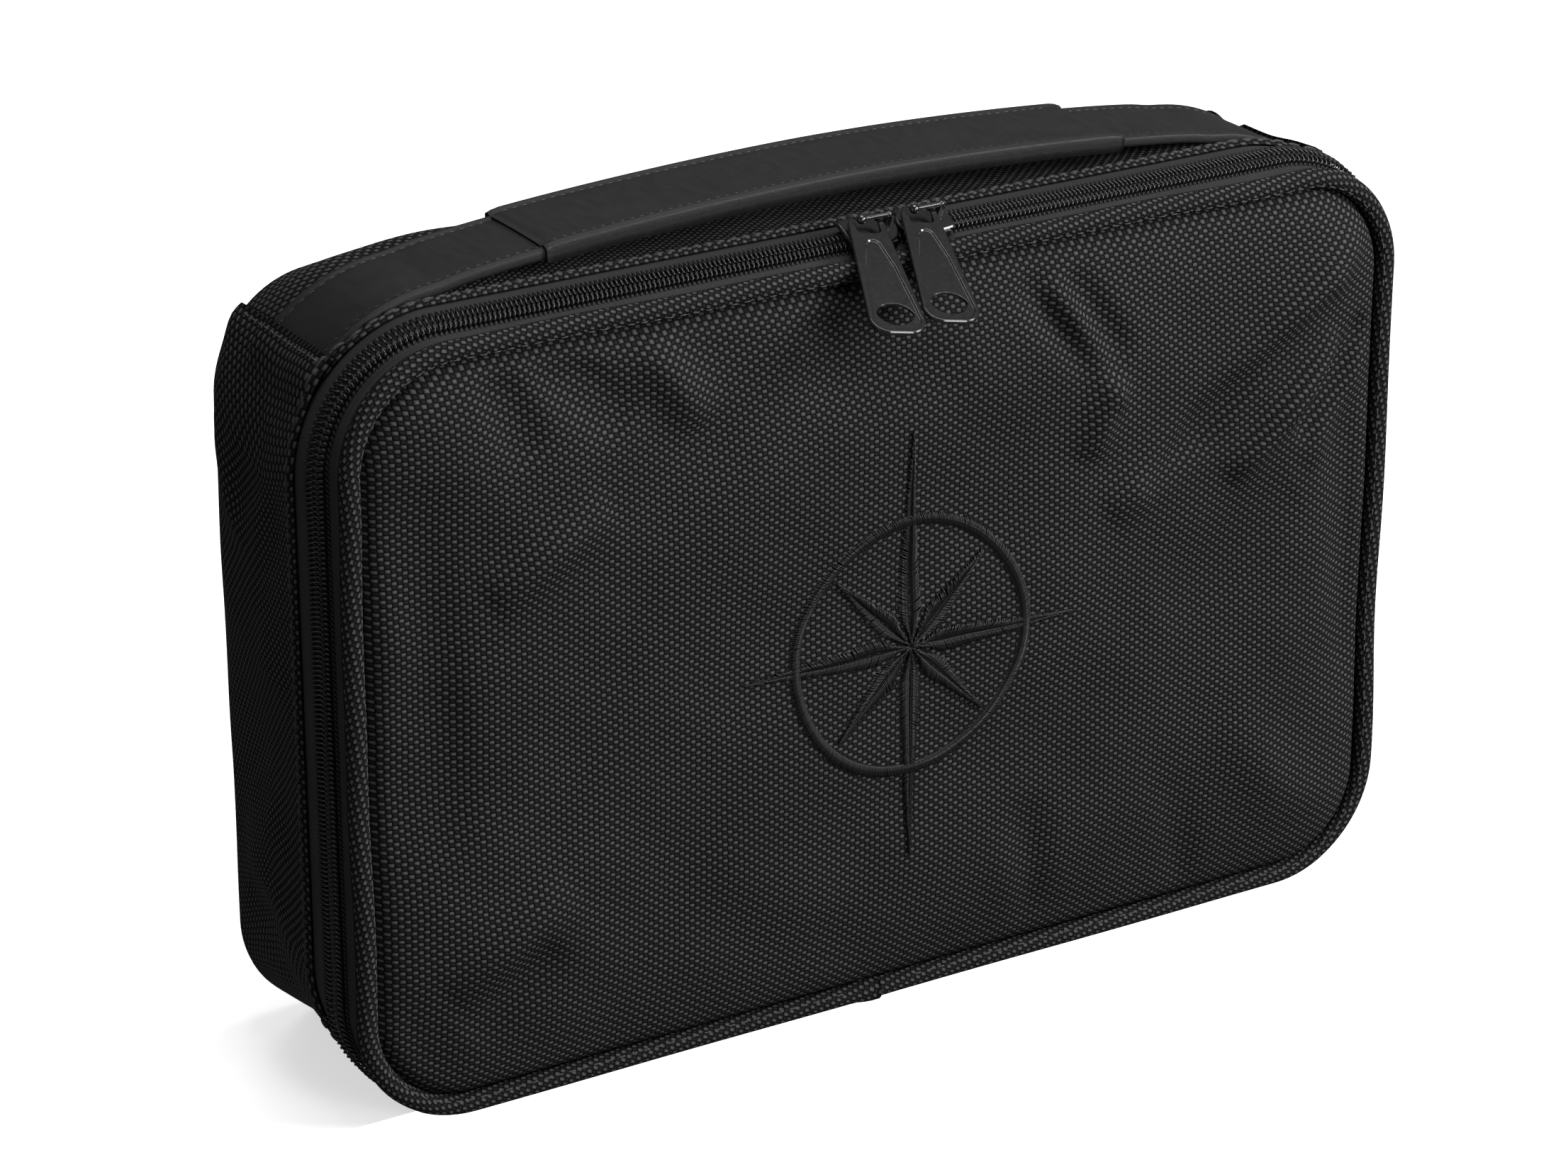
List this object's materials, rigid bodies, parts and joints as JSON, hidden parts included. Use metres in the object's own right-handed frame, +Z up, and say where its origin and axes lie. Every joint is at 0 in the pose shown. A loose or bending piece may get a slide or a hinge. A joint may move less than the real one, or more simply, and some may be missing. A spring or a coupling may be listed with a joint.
{
  "type": "flight bag",
  "caption": "Small soft zipped case of black ballistic nylon with piped padded lid, fabric hinge, two zip sliders and a leather top handle.",
  "frame": {"origin": "middle of the base on the surface the bag stands on, halfway between the front piping and the back edge", "axes": "+Z up, +X along the long side, -Y out of the lid (front)"},
  "size_m": [0.3042, 0.0996, 0.2115],
  "materials": {
    "nylon": "coarse ballistic nylon weave, low sheen",
    "piping": "nylon cut on the bias round a cord",
    "zip_tape": "herringbone tape",
    "zip_coil": "polyester coil",
    "leather": "fine-grain black leather",
    "lining": "smooth woven lining",
    "binding": "ribbed binding tape",
    "thread": "satin-stitched thread",
    "foam": "closed-cell foam sheet",
    "board": "stiffener board",
    "piping_core": "plain cord",
    "zip_metal": "gloss black plated zinc"
  },
  "bodies": {
    "shell": {"gusset_top": "nylon", "gusset_left": "nylon", "gusset_right": "nylon", "gusset_bottom": "nylon", "hinge_strip": "nylon", "gusset_foam": "foam", "gusset_lining": "lining", "back_panel": "nylon", "back_board": "board", "back_foam": "foam", "back_lining": "lining", "back_seam_binding": "binding", "body_zip_tape": "zip_tape", "body_zip_coil": "zip_coil", "handle_strap": "leather", "handle_padding": "foam", "handle_grip": "leather"},
    "lid": {"front_panel": "nylon", "front_foam": "foam", "front_lining": "lining", "piping_cover": "piping", "piping_cord": "piping_core", "lid_zip_tape": "zip_tape", "lid_zip_coil": "zip_coil", "lid_seam_binding": "binding", "embroidery": "thread"},
    "slider_left": {"slider_left_body": "zip_metal", "slider_left_crown": "zip_metal"},
    "slider_right": {"slider_right_body": "zip_metal", "slider_right_crown": "zip_metal"},
    "pull_left": {"pull_left": "zip_metal"},
    "pull_right": {"pull_right": "zip_metal"}
  },
  "joints": [
    {"name": "lid_hinge", "type": "hinge", "parent": "shell", "child": "lid", "pos_m": [0, -0.0337, 0], "axis": [1, 0, 0], "range_deg": [0, 170]},
    {"name": "slider_left_slide", "type": "slide", "parent": "lid", "child": "slider_left", "axis": [1, 0, 0], "range_m": [-0.105, 0]},
    {"name": "slider_right_slide", "type": "slide", "parent": "lid", "child": "slider_right", "axis": [1, 0, 0], "range_m": [0, 0.085]},
    {"name": "pull_left_swing", "type": "hinge", "parent": "slider_left", "child": "pull_left", "pos_m": [-0.0015, -0.02828, 0.20513], "axis": [-1, 0, 0], "range_deg": [0, 100]},
    {"name": "pull_right_swing", "type": "hinge", "parent": "slider_right", "child": "pull_right", "pos_m": [0.0135, -0.02828, 0.20513], "axis": [-1, 0, 0], "range_deg": [0, 100]}
  ]
}
